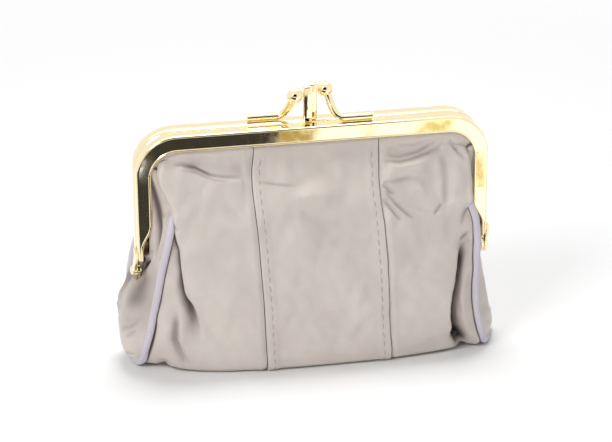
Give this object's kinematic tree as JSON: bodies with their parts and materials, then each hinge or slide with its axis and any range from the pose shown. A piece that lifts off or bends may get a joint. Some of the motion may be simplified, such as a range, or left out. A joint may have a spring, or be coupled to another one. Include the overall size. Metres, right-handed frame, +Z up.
{
  "type": "kiss lock purse",
  "caption": "Small soft leather purse in a hinged gold channel frame that closes with a two-ball kiss lock, with piped side gussets and a loose lining",
  "frame": {"origin": "On the floor under the middle of the purse", "axes": "+X to the right along the frame, +Y to the rear, +Z up; the front half of the frame is at -Y"},
  "size_m": [0.142, 0.0454, 0.103],
  "materials": {
    "gold_plate": "polished, bright gold plating",
    "leather": "soft, lightly glazed, pale warm grey",
    "piping_leather": "smooth, pale lilac grey",
    "lining_fabric": "fine woven cloth",
    "paper_cord": "twisted paper"
  },
  "bodies": {
    "bag": {"front_panel_left": "leather", "front_panel_centre": "leather", "front_panel_right": "leather", "back_panel_left": "leather", "back_panel_centre": "leather", "back_panel_right": "leather", "left_gusset": "leather", "right_gusset": "leather", "left_piping": "piping_leather", "right_piping": "piping_leather", "lining_front": "lining_fabric", "lining_back": "lining_fabric", "lining_left_gusset": "lining_fabric", "lining_right_gusset": "lining_fabric", "left_hinge_rivet": "gold_plate", "right_hinge_rivet": "gold_plate"},
    "front_half": {"front_frame": "gold_plate", "front_tuck_cord": "paper_cord", "front_lock_arm": "gold_plate", "front_lock_ball": "gold_plate", "front_lock_post": "gold_plate"},
    "rear_half": {"rear_frame": "gold_plate", "rear_tuck_cord": "paper_cord", "rear_lock_arm": "gold_plate", "rear_lock_ball": "gold_plate", "rear_lock_post": "gold_plate"}
  },
  "joints": [
    {"name": "front_half_hinge", "type": "hinge", "parent": "bag", "child": "front_half", "pos_m": [0, 0, 0.036], "axis": [1, 0, 0], "range_deg": [0, 40], "deforming": ["front_panel_left", "front_panel_centre", "front_panel_right", "lining_front", "left_gusset", "lining_left_gusset", "left_piping"]},
    {"name": "rear_half_hinge", "type": "hinge", "parent": "bag", "child": "rear_half", "pos_m": [0, 0, 0.036], "axis": [1, 0, 0], "range_deg": [-40, 0], "deforming": ["back_panel_left", "back_panel_centre", "back_panel_right", "lining_back", "right_gusset", "lining_right_gusset", "right_piping"]}
  ],
  "couplings": [
    {"joint": "rear_half_hinge", "follows": "front_half_hinge", "ratio": -1}
  ]
}
